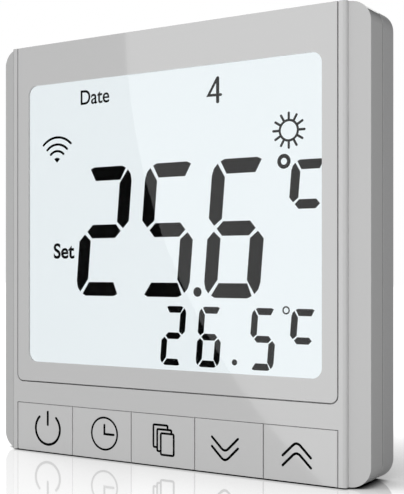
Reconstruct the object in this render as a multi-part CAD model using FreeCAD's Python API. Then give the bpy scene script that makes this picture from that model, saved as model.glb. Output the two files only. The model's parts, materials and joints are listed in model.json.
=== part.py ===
"""Square wall thermostat: a pull-off front module on a rear housing that sits in a wall box.

Frame: the origin is the centre of the wall plane, midway between the two wall screws.
+X is to the right of someone facing the display, +Z is up and +Y goes into the wall.
All sizes are in millimetres.
"""
import FreeCAD
import Part
import math
import os

V = FreeCAD.Vector

# ---- Body ----
body_width = 86.0
body_height = 86.0
body_depth = 12.5            # wall plane to the raised front
corner_radius = 3.5
wing_width = 3.8             # the lower strip down each side of the raised front
step_height = 1.2            # raised front down to the wing's inner edge
wing_drop = 0.85             # further slope out to the wing's outer edge
step_edge_radius = 0.6
crisp_edge_radius = 0.2
side_wall = 1.7
front_wall = 2.0

# ---- Seam between the front module and the rear housing ----
rim_depth = 4.9              # wall plane to the middle of the seam
seam_gap = 0.3
seam_chamfer = 0.05
rim_corner_radius = 3.8
tongue_height = 1.4
tongue_thickness = 0.9
tongue_clearance = 0.1

# ---- Display bezel, window and lens ----
bezel_side_inset = 5.4       # body side to the middle of the line round the bezel
bezel_bottom_height = 14.7   # body's bottom edge to the line under the bezel
bezel_corner_radius = 1.5
bezel_thickness = 1.2
line_gap = 0.26
window_side_inset = 8.5
window_top_inset = 8.48
window_bottom_height = 18.94
window_radius = 2.0
window_lip = 0.45            # bezel front to the lens
lens_margin = 1.6            # lens hidden behind the bezel on each side
fit_gap = 0.1                # between pieces laid into each other

# ---- Display cell and backlight ----
glass_thickness = 0.55
cell_gap = 0.08
diffuser_thickness = 0.2
tray_wall = 0.8
tray_floor = 0.9
contact_strip_width = 1.2
led_width = 3.0
led_height = 1.2
led_depth = 1.5
led_pitch = 22.0

# ---- Keys and their switches ----
key_count = 5
key_row_height = 10.14       # body's bottom edge to the line over the keys
key_gap = 0.2
key_thickness = 2.0
key_travel = 0.5
key_edge_radius = 0.12
key_tab_height = 1.4         # how far the key's tab reaches up behind the front wall
key_tab_thickness = 0.6
key_tab_side_inset = 1.6
stem_radius = 1.8
switch_size = 5.2
switch_height = 2.2
switch_edge_inset = 0.4      # control board's bottom edge to the switches
switch_floor = 0.8
plunger_radius = 1.6
plunger_clearance = 0.1
switch_leg_width = 0.7
switch_leg_thickness = 0.3

# ---- Control board in the front module ----
board_thickness = 1.2
board_inset = 0.9            # board edge to the inside of the housing's tongue
board_corner_radius = 1.0
board_front_y = -7.0
cover_boss_radius = 1.4
cover_screw_radius = 0.75
cover_screw_head_radius = 1.5
cover_screw_head_height = 0.9
cover_screw_length = 4.0
upper_boss_x = 34.0
lower_boss_x = 36.5
lower_boss_gap = 1.4         # bezel line down to the lower bosses' centres

# ---- Rear housing ----
web_thickness = 1.8
wall_screw_spacing = 60.0
slot_width = 4.4
slot_length = 8.0
slot_pad_thickness = 0.8
slot_pad_margin = 1.6
box_width = 49.0
box_height = 54.0
box_depth = 26.0
box_wall = 1.6
box_radius = 2.0
vent_count = 8
vent_length = 5.0
vent_width = 1.2
vent_pitch = 8.0
label_width = 30.0
label_height = 22.0
label_thickness = 0.15

# ---- Power board ----
power_board_front_y = 3.0
power_board_thickness = 1.6
power_board_gap = 0.3
post_size = 5.0
post_side_inset = 0.9
upper_post_inset = 2.2
lower_post_gap = 1.0
long_screw_radius = 1.2
long_screw_clearance = 0.05
long_screw_head_radius = 2.2
long_screw_head_height = 1.3
long_screw_length = 11.5
cross_reach = 1.4            # a cross recess's span against its head's radius
guard_thickness = 1.2
guard_front_y = -1.6
standoff_wall = 1.2

# ---- Link between the two boards ----
link_columns = 6
link_rows = 2
link_pitch = 2.54
link_pin_size = 0.64
link_pin_clearance = 0.13
link_pin_reach = 5.2         # pin length inside the socket
link_block_height = 2.4
link_wall = 0.9
link_z = 0.0
solder_length = 0.7

# ---- Terminals ----
terminal_count = 5
terminal_pitch = 8.4
terminal_wall = 0.6
terminal_block_height = 13.6
terminal_screw_z_inset = 7.0       # from the block's bottom face
clamp_width = 5.2
clamp_length = 4.4
clamp_side_wall = 0.85
clamp_floor = 0.9
clamp_top = 1.4
clamp_clearance = 0.15
clamp_travel = 2.0
clamp_bar_gap = 0.5          # fixed bar to the clamp's upper plate
wire_gap = 3.4               # clear height for the conductor when open
wire_entry_radius = 1.65
bar_thickness = 0.8
bar_width = 3.0
terminal_screw_radius = 1.45
terminal_thread_clearance = 0.05
terminal_head_radius = 2.0
terminal_head_height = 1.3
terminal_head_clearance = 0.3
terminal_shoulder = 0.6
terminal_back = 1.2
driver_hole_radius = 1.75
driver_slot_width = 0.6
driver_slot_depth = 0.6

# ---- Relay ----
relay_width = 20.4
relay_height = 10.6
relay_depth = 15.8
relay_wall = 0.7
relay_x = -6.6
relay_z = 12.4
coil_radius = 3.9
coil_length = 8.6
core_radius = 1.5
yoke_thickness = 1.1
armature_thickness = 1.0
armature_swing = 5.0         # degrees
relay_air_gap = 0.06
pivot_radius = 0.3           # bead under the armature, in a groove across the yoke
contact_radius = 1.1
contact_height = 0.7
contact_blade = 0.8

# ---- Other parts on the power board ----
transformer_x = 11.0
transformer_z = 11.0
transformer_width = 14.0
transformer_height = 13.6
transformer_depth = 12.0
core_leg = 2.6
core_foot = 3.0              # the core above the board
core_stack = 6.0
large_capacitor_radius = 4.0
large_capacitor_length = 12.0
small_capacitor_radius = 3.2
small_capacitor_length = 10.5
varistor_radius = 4.0
varistor_thickness = 3.0
varistor_foot = 1.8          # the disc above the board
fuse_radius = 1.9
fuse_length = 11.0
fuse_cap_length = 2.2
fuse_foot = 1.2              # the fuse above the board
lead_radius = 0.3

# ---- Parts on the back of the control board ----
chip_size = 10.0
chip_thickness = 1.2
chip_side_legs = 8
radio_width = 16.0
radio_height = 24.0
radio_board_thickness = 0.8
radio_can_thickness = 1.8
radio_can_width = 12.8
radio_can_height = 16.4
radio_can_offset = 3.0       # the can sits low on its board, clear of the aerial
cell_radius = 6.25
cell_thickness = 2.0
clip_thickness = 0.2
cell_pad_radius = 3.75
sensor_bead_radius = 1.1
sensor_lead_length = 5.0

# ---- Places worked out from the sizes above ----
half_width = body_width / 2
half_height = body_height / 2
front_y = -body_depth
raised_half = half_width - wing_width
wing_inner_y = front_y + step_height
wing_outer_y = wing_inner_y + wing_drop
cover_rear_y = -rim_depth - seam_gap / 2
rim_front_y = -rim_depth + seam_gap / 2
cover_inner_y = front_y + front_wall
inner_half_width = half_width - side_wall
inner_half_height = half_height - side_wall
web_front_y = -web_thickness

bezel_line_x = half_width - bezel_side_inset
bezel_line_z = -half_height + bezel_bottom_height
bezel_back_y = front_y + bezel_thickness
window_x = half_width - window_side_inset
window_top_z = half_height - window_top_inset
window_bottom_z = -half_height + window_bottom_height
lens_x = window_x + lens_margin
lens_top_z = window_top_z + lens_margin
lens_bottom_z = window_bottom_z - lens_margin
lens_front_y = front_y + window_lip
glass_back_y = bezel_back_y + 2 * glass_thickness + cell_gap

key_top_z = -half_height + key_row_height
key_pitch = 2 * bezel_line_x / key_count
key_back_y = front_y + key_thickness

board_back_y = board_front_y + board_thickness
board_half_width = inner_half_width - tongue_clearance - tongue_thickness - board_inset
board_half_height = inner_half_height - tongue_clearance - tongue_thickness - board_inset
switch_z = -board_half_height + switch_edge_inset + switch_size / 2
lower_boss_z = bezel_line_z - lower_boss_gap
upper_boss_z = lens_top_z + tray_wall + fit_gap + cover_boss_radius

box_half_width = box_width / 2
box_half_height = box_height / 2
power_board_back_y = power_board_front_y + power_board_thickness
power_half_width = box_half_width - box_wall - power_board_gap
power_half_height = box_half_height - box_wall - power_board_gap
block_top_z = -box_half_height + terminal_block_height
block_half_width = terminal_count * terminal_pitch / 2 + terminal_wall
step_wall_z = block_top_z + fit_gap
post_x = box_half_width - box_wall - post_side_inset - post_size / 2
upper_post_z = box_half_height - box_wall - upper_post_inset
lower_post_z = step_wall_z + box_wall + lower_post_gap + post_size / 2

clamp_cavity_y = power_board_back_y + fit_gap + terminal_back
clamp_floor_y = clamp_cavity_y + clamp_clearance
bar_y = clamp_floor_y + clamp_floor + wire_gap
clamp_top_y = bar_y + bar_thickness + clamp_bar_gap
clamp_cavity_end_y = clamp_top_y + clamp_top + clamp_travel + clamp_clearance
head_y = clamp_cavity_end_y + terminal_shoulder + fit_gap / 2
head_cavity_end_y = head_y + terminal_head_height + fit_gap
block_back_y = head_cavity_end_y + terminal_back
terminal_screw_z = -box_half_height + terminal_screw_z_inset


# ---- Shape helpers ----
def box(x0, x1, y0, y1, z0, z1):
    """A box between two corners."""
    return Part.makeBox(x1 - x0, y1 - y0, z1 - z0, V(x0, y0, z0))


def block_at(x, z, width, height, y0, y1):
    """A box centred on (x, z), from y0 to y1."""
    return box(x - width / 2, x + width / 2, y0, y1, z - height / 2, z + height / 2)


def rod(start, end, radius):
    """A round bar between two points."""
    along = end - start
    return Part.makeCylinder(radius, along.Length, start, along)


def bar_y_at(x, z, radius, y0, y1):
    """A round bar along Y."""
    return rod(V(x, y0, z), V(x, y1, z), radius)


def rounded_outline(x0, x1, z0, z1, y, radius):
    """A closed rectangle with rounded corners, in a plane of constant y."""
    quarter = math.pi / 4
    corners = [(x1 - radius, z0 + radius, -quarter), (x1 - radius, z1 - radius, quarter),
               (x0 + radius, z1 - radius, 3 * quarter), (x0 + radius, z0 + radius, 5 * quarter)]
    edges = []
    last = None
    first = None
    for cx, cz, middle in corners:
        points = [V(cx + radius * math.cos(a), y, cz + radius * math.sin(a))
                  for a in (middle - quarter, middle, middle + quarter)]
        if last is None:
            first = points[0]
        else:
            edges.append(Part.LineSegment(last, points[0]).toShape())
        edges.append(Part.Arc(points[0], points[1], points[2]).toShape())
        last = points[2]
    edges.append(Part.LineSegment(last, first).toShape())
    return Part.Wire(edges)


def slab(x0, x1, z0, z1, y0, y1, radius):
    """A plate with rounded corners, from y0 to y1."""
    return Part.Face(rounded_outline(x0, x1, z0, z1, y0, radius)).extrude(V(0, y1 - y0, 0))


def centred_slab(half_x, half_z, y0, y1, radius):
    """A slab centred on the Y axis."""
    return slab(-half_x, half_x, -half_z, half_z, y0, y1, radius)


def prism_z(points, z0, z1):
    """A prism along Z over a closed outline of (x, y) points."""
    corners = [V(x, y, z0) for x, y in points]
    return Part.Face(Part.makePolygon(corners + corners[:1])).extrude(V(0, 0, z1 - z0))


def fuse_all(shapes):
    """One solid from several that meet."""
    return shapes[0].multiFuse(shapes[1:]).removeSplitter()


def round_edges(shape, radius, wanted):
    """Fillet the edges for which wanted(edge's box) holds."""
    return shape.makeFillet(radius, [edge for edge in shape.Edges if wanted(edge.BoundBox)])


def near(a, b):
    """Whether two lengths are the same."""
    return abs(a - b) < 1e-4


# ---- Front module ----
def cover_blank():
    """The cover's outer shape: a raised front between two sloping side wings."""
    points = [(-half_width, cover_rear_y), (-half_width, wing_outer_y), (-raised_half, wing_inner_y),
              (-raised_half, front_y), (raised_half, front_y), (raised_half, wing_inner_y),
              (half_width, wing_outer_y), (half_width, cover_rear_y)]
    blank = prism_z(points, -half_height, half_height)
    blank = round_edges(blank, step_edge_radius,
                        lambda b: near(b.XLength, 0) and near(b.YLength, 0) and near(b.YMin, front_y))
    blank = round_edges(blank, crisp_edge_radius,
                        lambda b: near(b.XLength, 0) and near(b.YLength, 0) and near(b.YMin, wing_outer_y))
    outline = centred_slab(half_width, half_height, front_y, cover_rear_y, corner_radius)
    shape = blank.common(outline)
    return shape.makeChamfer(seam_chamfer, [edge for edge in shape.Edges
                                            if near(edge.BoundBox.YMin, cover_rear_y)
                                            and near(edge.BoundBox.YLength, 0)])


def key_opening():
    """The notch in the cover's front and bottom that the key row fills."""
    reach = bezel_line_x + key_gap / 2
    front = box(-reach, reach, front_y, cover_inner_y, -half_height, key_top_z)
    below = box(-reach, reach, front_y, key_back_y + key_travel + fit_gap,
                -half_height, -half_height + side_wall)
    return front.fuse(below)


def cover_bosses():
    """Screw bosses for the control board on the inside of the front."""
    return [bar_y_at(x, z, cover_boss_radius, cover_inner_y - fit_gap, board_front_y)
            for x, z in board_screw_places()]


def board_screw_places():
    """Where the control board is screwed down."""
    return [(-upper_boss_x, upper_boss_z), (upper_boss_x, upper_boss_z),
            (-lower_boss_x, lower_boss_z), (lower_boss_x, lower_boss_z)]


def front_cover():
    """The moulded front shell."""
    inner_radius = corner_radius - side_wall
    wing_wall_y = wing_outer_y + side_wall
    cavity = centred_slab(inner_half_width, inner_half_height, wing_wall_y, cover_rear_y, inner_radius)
    centre = box(-raised_half + side_wall / 2, raised_half - side_wall / 2, cover_inner_y, cover_rear_y,
                 -inner_half_height, inner_half_height)
    bezel_seat = box(-bezel_line_x - line_gap / 2, bezel_line_x + line_gap / 2, front_y, bezel_back_y,
                     0, half_height)
    bezel_seat = bezel_seat.fuse(slab(-bezel_line_x - line_gap / 2, bezel_line_x + line_gap / 2,
                                      bezel_line_z - line_gap / 2, half_height / 2, front_y, bezel_back_y,
                                      bezel_corner_radius + line_gap / 2))
    display_opening = slab(-lens_x, lens_x, lens_bottom_z, lens_top_z, bezel_back_y, cover_inner_y,
                           window_radius / 2)
    shape = cover_blank().cut(cavity.fuse(centre)).cut(bezel_seat).cut(display_opening)
    shape = shape.cut(key_opening())
    shape = fuse_all([shape] + cover_bosses())
    pilots = [bar_y_at(x, z, cover_screw_radius, board_front_y - cover_screw_length + board_thickness,
                       board_front_y) for x, z in board_screw_places()]
    return shape.cut(Part.makeCompound(pilots))


def bezel_blank():
    """The bezel's outline: square at the body's top edge, rounded at its lower corners."""
    reach = bezel_line_x - line_gap / 2
    low = bezel_line_z + line_gap / 2
    lower = slab(-reach, reach, low, half_height / 2, front_y, bezel_back_y,
                 bezel_corner_radius - line_gap / 2)
    upper = box(-reach, reach, front_y, bezel_back_y, 0, half_height)
    return lower.fuse(upper).removeSplitter()


def display_bezel():
    """The silver panel round the display window, with the lens's pocket in its back."""
    window = slab(-window_x, window_x, window_bottom_z, window_top_z, front_y, bezel_back_y, window_radius)
    pocket = slab(-lens_x, lens_x, lens_bottom_z, lens_top_z, lens_front_y, bezel_back_y,
                  window_radius / 2)
    return bezel_blank().cut(window).cut(pocket)


def display_plate(y0, y1, top_z):
    """A plate of the display stack, as wide as the lens with a little clearance."""
    return slab(-lens_x + fit_gap, lens_x - fit_gap, lens_bottom_z + fit_gap, top_z - fit_gap, y0, y1,
                window_radius / 2 - fit_gap)


def window_lens():
    """The clear lens behind the bezel's lip."""
    return display_plate(lens_front_y, bezel_back_y, lens_top_z)


def lcd_front_glass():
    """The display cell's front glass."""
    return display_plate(bezel_back_y, bezel_back_y + glass_thickness, lens_top_z)


def lcd_rear_glass():
    """The display cell's rear glass."""
    return display_plate(glass_back_y - glass_thickness, glass_back_y, lens_top_z)


def guide_top_z():
    """Top edge of the light guide, below the contact strip."""
    return lens_top_z - fit_gap - contact_strip_width - fit_gap


def guide_bottom_z():
    """Bottom edge of the light guide, above the lamps."""
    return lens_bottom_z + fit_gap + led_height + fit_gap


def diffuser_sheet():
    """The diffusing film behind the display cell."""
    return display_plate(glass_back_y, glass_back_y + diffuser_thickness, guide_top_z() + fit_gap)


def light_guide():
    """The clear plate that spreads the lamps' light."""
    return slab(-lens_x + fit_gap, lens_x - fit_gap, guide_bottom_z(), guide_top_z(),
                glass_back_y + diffuser_thickness, board_front_y - tray_floor, fit_gap)


def contact_strip():
    """The elastomer strip that joins the display cell to the control board."""
    top = lens_top_z - fit_gap
    return box(-window_x, window_x, glass_back_y, board_front_y, top - contact_strip_width, top)


def led_boxes(margin):
    """The three lamps below the light guide, grown by a margin."""
    bottom = lens_bottom_z + fit_gap
    return [box(x - led_width / 2 - margin, x + led_width / 2 + margin, board_front_y - led_depth - margin,
                board_front_y, bottom - margin, bottom + led_height)
            for x in (-led_pitch, 0, led_pitch)]


def backlight_tray():
    """The white tray that holds the display stack against the cover."""
    reach = lens_x + tray_wall
    outer = slab(-reach, reach, lens_bottom_z - tray_wall, lens_top_z + tray_wall,
                 cover_inner_y, board_front_y, window_radius / 2 + tray_wall)
    inner = slab(-lens_x, lens_x, lens_bottom_z, lens_top_z, cover_inner_y, board_front_y - tray_floor,
                 window_radius / 2)
    top = lens_top_z - fit_gap
    strip_slot = box(-window_x - fit_gap, window_x + fit_gap, cover_inner_y, board_front_y,
                     top - contact_strip_width - fit_gap, top + fit_gap)
    return outer.cut(inner).cut(strip_slot).cut(Part.makeCompound(led_boxes(fit_gap)))


def key_centre(index):
    """The middle of a key across the body."""
    return (index - (key_count - 1) / 2) * key_pitch


def key(index):
    """One key: a face flush with the front, a tab behind the front wall and a stem."""
    x = key_centre(index)
    half = (key_pitch - key_gap) / 2
    face = box(x - half, x + half, front_y, key_back_y, -half_height, key_top_z - key_gap / 2)
    face = round_edges(face, key_edge_radius, lambda b: near(b.YLength, 0) and near(b.YMin, front_y))
    tab_half = half - key_tab_side_inset
    tab_y = cover_inner_y + fit_gap
    tab = box(x - tab_half, x + tab_half, tab_y, tab_y + key_tab_thickness,
              key_top_z - key_tab_height, key_top_z + key_tab_height)
    root = box(x - tab_half, x + tab_half, key_back_y, tab_y + key_tab_thickness,
               key_top_z - key_tab_height, key_top_z - key_gap / 2 - fit_gap)
    stem = bar_y_at(x, switch_z, stem_radius, key_back_y, plunger_front_y())
    return fuse_all([face, root, tab, stem])


def plunger_front_y():
    """Where the stem meets the switch's plunger."""
    return board_front_y - switch_height - key_travel - 2 * fit_gap


def switch_plunger(index):
    """The plunger that a key's stem pushes into its switch."""
    back = board_front_y - switch_floor - key_travel - fit_gap
    return bar_y_at(key_centre(index), switch_z, plunger_radius, plunger_front_y(), back)


def key_switch(index):
    """One switch body with the well that its plunger moves in."""
    x = key_centre(index)
    body = block_at(x, switch_z, switch_size, switch_size, board_front_y - switch_height, board_front_y)
    body = round_edges(body, crisp_edge_radius, lambda b: b.YLength > switch_height / 2)
    well = bar_y_at(x, switch_z, plunger_radius + plunger_clearance, board_front_y - switch_height,
                    board_front_y - switch_floor)
    return body.cut(well)


def switch_legs(index):
    """A switch's four legs, flat on the board."""
    x = key_centre(index)
    reach = switch_size / 2
    legs = []
    for side in (-1, 1):
        for row in (-1, 1):
            inner = x + side * reach
            outer = inner + side * switch_leg_width
            z = switch_z + row * switch_size / 4
            legs.append(box(min(inner, outer), max(inner, outer), board_front_y - switch_leg_thickness,
                            board_front_y, z - switch_leg_width / 2, z + switch_leg_width / 2))
    return legs


def key_switches():
    """The five switches on the control board, each with its legs."""
    solids = []
    for index in range(key_count):
        solids.append(key_switch(index))
        solids.extend(switch_legs(index))
    return solids


def control_board():
    """The control board, held to the cover by four screws."""
    board = centred_slab(board_half_width, board_half_height, board_front_y, board_back_y,
                         board_corner_radius)
    holes = [bar_y_at(x, z, cover_screw_radius + fit_gap, board_front_y, board_back_y)
             for x, z in board_screw_places()]
    return board.cut(Part.makeCompound(holes))


def screw(x, z, head_y0, radius, length, head_radius, head_height, slot):
    """A cross-head screw along Y: its head is behind head_y0 and its shank runs to smaller y."""
    shank = bar_y_at(x, z, radius, head_y0 - length, head_y0)
    head = bar_y_at(x, z, head_radius, head_y0, head_y0 + head_height)
    cross = [block_at(x, z, cross_reach * head_radius, slot, head_y0 + head_height / 2, head_y0 + head_height),
             block_at(x, z, slot, cross_reach * head_radius, head_y0 + head_height / 2, head_y0 + head_height)]
    return shank.fuse(head).cut(Part.makeCompound(cross))


def board_screws():
    """The four screws that hold the control board."""
    return [screw(x, z, board_back_y, cover_screw_radius, cover_screw_length, cover_screw_head_radius,
                  cover_screw_head_height, crisp_edge_radius * 2) for x, z in board_screw_places()]


def microcontroller():
    """The controller chip with its rows of legs."""
    x = -board_half_width / 2
    z = -board_half_height / 2
    low = board_back_y + solder_length / 4
    body = block_at(x, z, chip_size, chip_size, low, low + chip_thickness)
    legs = []
    leg_width = chip_size / chip_side_legs / 3
    for i in range(chip_side_legs):
        offset = (i - (chip_side_legs - 1) / 2) * chip_size / (chip_side_legs + 1)
        legs.append(block_at(x, z + offset, chip_size + 2 * chip_thickness, leg_width,
                             board_back_y, low + chip_thickness / 4))
        legs.append(block_at(x + offset, z, leg_width, chip_size + 2 * chip_thickness,
                             board_back_y, low + chip_thickness / 4))
    return fuse_all([body] + legs)


def radio_place():
    """The radio module's centre, in the board's upper right corner."""
    return board_half_width - radio_width / 2 - fit_gap, board_half_height - radio_height / 2 - 4 * board_inset


def radio_module():
    """The radio module's small board."""
    x, z = radio_place()
    return block_at(x, z, radio_width, radio_height, board_back_y, board_back_y + radio_board_thickness)


def radio_can():
    """The metal can over the radio's chips."""
    x, z = radio_place()
    low = board_back_y + radio_board_thickness
    can = block_at(x, z - radio_can_offset, radio_can_width, radio_can_height, low,
                   low + radio_can_thickness)
    return round_edges(can, radio_can_thickness / 4, lambda b: near(b.YMin, low + radio_can_thickness))


def clock_cell_place():
    """The clock's cell, in the board's upper left corner."""
    return -board_half_width + 2 * cell_radius, board_half_height - 3 * cell_radius


def clock_cell():
    """The coin cell that keeps the clock going."""
    x, z = clock_cell_place()
    low = board_back_y + clip_thickness
    can = bar_y_at(x, z, cell_radius, low, low + cell_thickness)
    return round_edges(can, crisp_edge_radius, lambda b: near(b.YMin, low + cell_thickness))


def cell_clip():
    """The sprung metal clip over the coin cell."""
    x, z = clock_cell_place()
    reach = cell_radius + fit_gap
    top = board_back_y + clip_thickness + cell_thickness
    strap = block_at(x, z, 2 * (reach + clip_thickness), cell_radius, top, top + clip_thickness)
    sides = [block_at(x + side * (reach + clip_thickness / 2), z, clip_thickness, cell_radius,
                      board_back_y, top + clip_thickness) for side in (-1, 1)]
    pad = bar_y_at(x, z, cell_pad_radius, board_back_y, board_back_y + clip_thickness)
    return [fuse_all([strap] + sides), pad]


def temperature_sensor():
    """The sensing bead on its two leads, low on the board where cool air comes in."""
    x = board_half_width - 3 * sensor_bead_radius
    z = -board_half_height + sensor_lead_length + 2 * sensor_bead_radius
    y = board_back_y + sensor_bead_radius
    bead = Part.makeSphere(sensor_bead_radius, V(x, y, z - sensor_lead_length))
    leads = [rod(V(x + side * sensor_bead_radius / 2, y, z - sensor_lead_length),
                 V(x + side * sensor_bead_radius / 2, y, z), lead_radius / 2) for side in (-1, 1)]
    feet = [bar_y_at(x + side * sensor_bead_radius / 2, z, lead_radius, board_back_y, y + lead_radius)
            for side in (-1, 1)]
    return fuse_all([bead] + leads + feet)


def link_places():
    """The pins between the two boards."""
    places = []
    for column in range(link_columns):
        for row in range(link_rows):
            places.append(((column - (link_columns - 1) / 2) * link_pitch,
                           link_z + (row - (link_rows - 1) / 2) * link_pitch))
    return places


def link_width():
    """Width of the link's socket and pin block."""
    return link_columns * link_pitch + link_wall


def link_height():
    """Height of the link's socket and pin block."""
    return link_rows * link_pitch + link_wall


def link_socket():
    """The socket on the control board that takes the power board's pins."""
    end = power_board_front_y - link_block_height - fit_gap
    shape = block_at(0, link_z, link_width(), link_height(), board_back_y, end)
    bore = link_pin_size + 2 * link_pin_clearance
    holes = [block_at(x, z, bore, bore, end - link_pin_reach - fit_gap, end) for x, z in link_places()]
    return shape.cut(Part.makeCompound(holes))


# ---- Rear housing and what it holds ----
def rim_blank():
    """The rim's outer shape, chamfered at the seam."""
    rim = centred_slab(half_width, half_height, rim_front_y, 0, rim_corner_radius)
    return rim.makeChamfer(seam_chamfer, [edge for edge in rim.Edges if near(edge.BoundBox.YMax, rim_front_y)])


def rim_cavity():
    """The hollow of the rim, in front of the web."""
    return centred_slab(inner_half_width - tongue_clearance - tongue_thickness,
                        inner_half_height - tongue_clearance - tongue_thickness,
                        rim_front_y - tongue_height, web_front_y, corner_radius - side_wall)


def tongue():
    """The ring that locates the front module inside its cover."""
    return centred_slab(inner_half_width - tongue_clearance, inner_half_height - tongue_clearance,
                        rim_front_y - tongue_height, rim_front_y + side_wall, corner_radius - side_wall)


def vent_slots():
    """Air slots through the rim's top and bottom."""
    middle_y = (web_front_y + rim_front_y) / 2
    slots = []
    for i in range(vent_count):
        x = (i - (vent_count - 1) / 2) * vent_pitch
        slots.append(box(x - vent_length / 2, x + vent_length / 2, middle_y - vent_width / 2,
                         middle_y + vent_width / 2, -half_height, half_height))
    rim_only = box(-half_width, half_width, rim_front_y, web_front_y,
                   -inner_half_height + 2 * side_wall, inner_half_height - 2 * side_wall)
    return Part.makeCompound(slots).cut(rim_only)


def rear_box():
    """The box behind the web: deep above, shallower at the terminals."""
    deep = slab(-box_half_width, box_half_width, step_wall_z, box_half_height, 0, box_depth, box_radius)
    shallow = slab(-box_half_width, box_half_width, -box_half_height, box_half_height, 0, block_back_y,
                   box_radius)
    return deep.fuse(shallow).removeSplitter()


def box_hollow():
    """The inside of the rear box, open to the front through the web, with the step wall left in."""
    deep = slab(-box_half_width + box_wall, box_half_width - box_wall, step_wall_z + box_wall,
                box_half_height - box_wall, power_board_back_y + fit_gap, box_depth - box_wall, box_radius / 2)
    low = slab(-box_half_width + box_wall, box_half_width - box_wall, -box_half_height + box_wall,
               step_wall_z, power_board_back_y + fit_gap, block_back_y - box_wall, box_radius / 4)
    mouth = slab(-box_half_width + box_wall, box_half_width - box_wall, -box_half_height + box_wall,
                 box_half_height - box_wall, web_front_y, power_board_back_y + fit_gap, box_radius / 2)
    return deep.fuse(low).fuse(mouth)


def post_places():
    """The four posts that carry the power board."""
    return [(side * post_x, z) for side in (-1, 1) for z in (lower_post_z, upper_post_z - post_size / 2)]


def board_posts():
    """Posts from the box's back to the power board."""
    return [block_at(x, z, post_size, post_size, power_board_back_y, box_depth - box_wall / 2)
            for x, z in post_places()]


def wall_slots():
    """The two slots for the wall screws, one on each side of the box."""
    front = web_front_y - slot_pad_thickness
    straight = slot_length - slot_width
    slots = []
    for x in (-wall_screw_spacing / 2, wall_screw_spacing / 2):
        ends = [bar_y_at(x + side * straight / 2, 0, slot_width / 2, front, 0) for side in (-1, 1)]
        slots.append(fuse_all([block_at(x, 0, straight, slot_width, front, 0)] + ends))
    return slots


def slot_pads():
    """A raised pad round each wall-screw slot, clear of the box."""
    length = slot_length / 2 + slot_pad_margin
    width = slot_width / 2 + slot_pad_margin
    return [slab(side * wall_screw_spacing / 2 - length, side * wall_screw_spacing / 2 + length,
                 -width, width, web_front_y - slot_pad_thickness, web_front_y / 2, slot_width / 2)
            for side in (-1, 1)]


def terminal_window():
    """The part of the box that the terminal block fills, open to the back and below."""
    reach = block_half_width + fit_gap
    return box(-reach, reach, power_board_back_y, block_back_y + box_depth,
               -box_half_height - box_wall, step_wall_z)


def rear_housing():
    """The moulded rear housing: rim, web, wall slots and the box that holds the power board."""
    shape = fuse_all([rim_blank(), tongue()])
    shape = shape.cut(rim_cavity())
    shape = fuse_all([shape, rear_box()] + slot_pads())
    shape = shape.cut(box_hollow()).cut(terminal_window())
    shape = fuse_all([shape] + board_posts())
    pilots = [bar_y_at(x, z, long_screw_radius + long_screw_clearance, power_board_back_y,
                       guard_front_y + long_screw_length + fit_gap) for x, z in post_places()]
    return shape.cut(Part.makeCompound(pilots + wall_slots())).cut(vent_slots())


def power_board():
    """The power board on its four posts."""
    board = centred_slab(power_half_width, power_half_height, power_board_front_y, power_board_back_y,
                         board_corner_radius)
    holes = [bar_y_at(x, z, long_screw_radius + long_screw_clearance, power_board_front_y,
                      power_board_back_y) for x, z in post_places()]
    pins = [block_at(x, z, link_pin_size, link_pin_size, power_board_front_y, power_board_back_y)
            for x, z in link_places()]
    return board.cut(Part.makeCompound(holes + pins))


def mains_guard():
    """The insulating guard over the power board, on four stand-offs."""
    guard_back = guard_front_y + guard_thickness
    plate = centred_slab(power_half_width, power_half_height, guard_front_y, guard_back, board_corner_radius)
    tubes = [bar_y_at(x, z, long_screw_radius + standoff_wall, guard_back, power_board_front_y)
             for x, z in post_places()]
    shape = fuse_all([plate] + tubes)
    holes = [bar_y_at(x, z, long_screw_radius + long_screw_clearance, guard_front_y, power_board_front_y)
             for x, z in post_places()]
    window = block_at(0, link_z, link_width() + 4 * fit_gap, link_height() + 4 * fit_gap,
                      guard_front_y, guard_back)
    return shape.cut(Part.makeCompound(holes + [window]))


def guard_screws():
    """The four long screws through the guard and the power board into the posts."""
    return [screw(x, z, -guard_front_y, long_screw_radius, long_screw_length, long_screw_head_radius,
                  long_screw_head_height, driver_slot_width).mirror(V(0, 0, 0), V(0, 1, 0))
            for x, z in post_places()]


def link_pins():
    """The pins from the power board to the control board."""
    end = power_board_front_y - link_block_height - fit_gap
    return [block_at(x, z, link_pin_size, link_pin_size, end - link_pin_reach, power_board_back_y
                     + solder_length) for x, z in link_places()]


def link_pin_block():
    """The moulded block that holds the pins."""
    start = power_board_front_y - link_block_height
    shape = block_at(0, link_z, link_width(), link_height(), start, power_board_front_y)
    holes = [block_at(x, z, link_pin_size, link_pin_size, start, power_board_front_y)
             for x, z in link_places()]
    return shape.cut(Part.makeCompound(holes))


def terminal_x(index):
    """The middle of a terminal across the body."""
    return (index - (terminal_count - 1) / 2) * terminal_pitch


def bar_end_z():
    """Where a terminal's bar turns down to the board."""
    return block_top_z - terminal_back - bar_thickness


def terminal_bar(index):
    """A fixed contact bar through the clamp, with a leg into the power board."""
    x = terminal_x(index)
    flat = box(x - bar_width / 2, x + bar_width / 2, bar_y, bar_y + bar_thickness,
               terminal_screw_z - clamp_length / 2, bar_end_z() + bar_thickness)
    leg = box(x - bar_width / 4, x + bar_width / 4, power_board_back_y, bar_y + bar_thickness,
              bar_end_z(), bar_end_z() + bar_thickness)
    return flat.fuse(leg).removeSplitter()


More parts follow.
